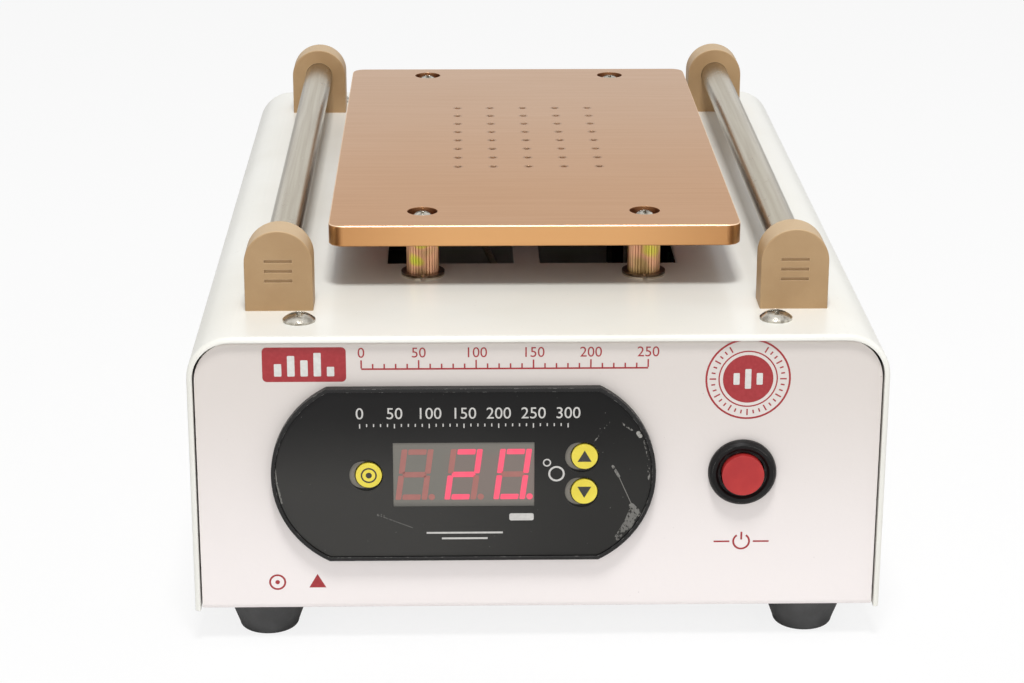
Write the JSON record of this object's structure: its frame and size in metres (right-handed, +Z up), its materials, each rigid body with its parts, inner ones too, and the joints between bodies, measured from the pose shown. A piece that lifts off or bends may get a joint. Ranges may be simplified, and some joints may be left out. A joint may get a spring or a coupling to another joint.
{
  "type": "lcd screen separator",
  "caption": "Bench machine with a heated vacuum plate between two rods on a white sheet-metal case, with a temperature controller and a start button in front.",
  "frame": {"origin": "on the surface under the feet, in the middle of the whole machine's width and depth", "axes": "+Z up, +Y from the front panel towards the rear panel, +X towards the start button's side"},
  "size_m": [0.182, 0.2812, 0.1079],
  "materials": {
    "white_paint": "semi-gloss powder coat",
    "panel_paint": "satin powder coat with red print",
    "foot_rubber": "matte",
    "zinc_screw": "zinc plated",
    "cap_plastic": "satin, moulded",
    "rod_steel": "ground along its length",
    "copper_plate": "anodised copper colour, fine brushed",
    "passivated_zinc": "yellow passivated, iridescent",
    "spring_steel": "dark, oiled",
    "silicone_heater": "satin, woven imprint",
    "cast_aluminium": "machined",
    "red_silicone": "satin",
    "black_plastic": "fine grain",
    "overlay_film": "satin film",
    "display_grey": "clear over grey, red segments",
    "board_green": "solder mask",
    "yellow_plastic": "satin",
    "red_plastic": "satin",
    "white_nylon": "satin",
    "bright_pin": "nickel plated",
    "fuse_glass": "clear with metal ends",
    "transformer_core": "tape over ferrite",
    "capacitor_sleeve": "shrink sleeve",
    "relay_blue": "satin",
    "block_green": "satin",
    "motor_steel": "zinc plated",
    "pump_plastic": "glass filled",
    "diaphragm_rubber": "matte",
    "brass_shaft": "machined",
    "clear_silicone": "translucent",
    "brown_lead": "PVC",
    "white_lead": "silicone",
    "black_lead": "PVC"
  },
  "bodies": {
    "machine": {"chassis": "panel_paint", "cover": "white_paint", "feet": "foot_rubber", "foot_screws": "zinc_screw", "foot_nuts": "zinc_screw", "cover_screws": "zinc_screw", "front_left_end_cap": "cap_plastic", "front_right_end_cap": "cap_plastic", "rear_left_end_cap": "cap_plastic", "rear_right_end_cap": "cap_plastic", "end_cap_screws": "zinc_screw", "left_rod": "rod_steel", "right_rod": "rod_steel", "hot_plate": "copper_plate", "plate_screws": "zinc_screw", "standoffs": "passivated_zinc", "spring_washers": "spring_steel", "standoff_nuts": "zinc_screw", "heater_pad": "silicone_heater", "vacuum_manifold": "cast_aluminium", "manifold_gasket": "red_silicone", "underside_screws": "zinc_screw", "temperature_sensor": "bright_pin", "thermal_cutout": "black_plastic", "vacuum_hose": "clear_silicone", "controller_bezel": "black_plastic", "controller_overlay": "overlay_film", "led_display": "display_grey", "controller_board": "board_green", "controller_screws": "zinc_screw", "tact_switches": "black_plastic", "start_switch_body": "black_plastic", "start_switch_nut": "white_nylon", "start_switch_spring": "spring_steel", "inlet_housing": "black_plastic", "inlet_pins": "bright_pin", "inlet_screws": "zinc_screw", "supply_board": "board_green", "supply_transformer": "transformer_core", "supply_capacitor": "capacitor_sleeve", "heater_relay": "relay_blue", "terminal_block": "block_green", "board_posts": "white_nylon", "pump_motor": "motor_steel", "pump_crankcase": "pump_plastic", "pump_diaphragm": "diaphragm_rubber", "pump_valve_head": "pump_plastic", "pump_bracket": "motor_steel", "pump_screws": "zinc_screw", "mains_leads": "brown_lead", "heater_leads": "white_lead", "control_leads": "black_lead"},
    "start_button": {"start_button": "red_plastic"},
    "set_button": {"set_button": "yellow_plastic"},
    "up_button": {"up_button": "yellow_plastic"},
    "down_button": {"down_button": "yellow_plastic"},
    "rocker": {"power_rocker": "red_plastic"},
    "drawer": {"fuse_drawer": "black_plastic", "fuse": "fuse_glass"},
    "rotor": {"pump_rotor": "brass_shaft"}
  },
  "joints": [
    {"name": "start_button_press", "type": "slide", "parent": "machine", "child": "start_button", "axis": [0, 1, 0], "range_m": [0, 0.0025], "stiffness_N_per_m": 400, "springref_m": -0.002, "deforming": ["start_switch_spring"]},
    {"name": "set_button_press", "type": "slide", "parent": "machine", "child": "set_button", "axis": [0, 1, 0], "range_m": [0, 0.0005], "stiffness_N_per_m": 1500, "springref_m": -0.0005},
    {"name": "up_button_press", "type": "slide", "parent": "machine", "child": "up_button", "axis": [0, 1, 0], "range_m": [0, 0.0005], "stiffness_N_per_m": 1500, "springref_m": -0.0005},
    {"name": "down_button_press", "type": "slide", "parent": "machine", "child": "down_button", "axis": [0, 1, 0], "range_m": [0, 0.0005], "stiffness_N_per_m": 1500, "springref_m": -0.0005},
    {"name": "power_rocker_tilt", "type": "hinge", "parent": "machine", "child": "rocker", "pos_m": [0.048, 0.1362, 0.064], "axis": [-1, 0, 0], "range_deg": [0, 18]},
    {"name": "fuse_drawer_slide", "type": "slide", "parent": "machine", "child": "drawer", "axis": [0, 1, 0], "range_m": [0, 0.01]},
    {"name": "pump_rotor_spin", "type": "hinge", "parent": "machine", "child": "rotor", "pos_m": [-0.046, 0, 0.0282], "axis": [0, 1, 0], "continuous": true}
  ]
}
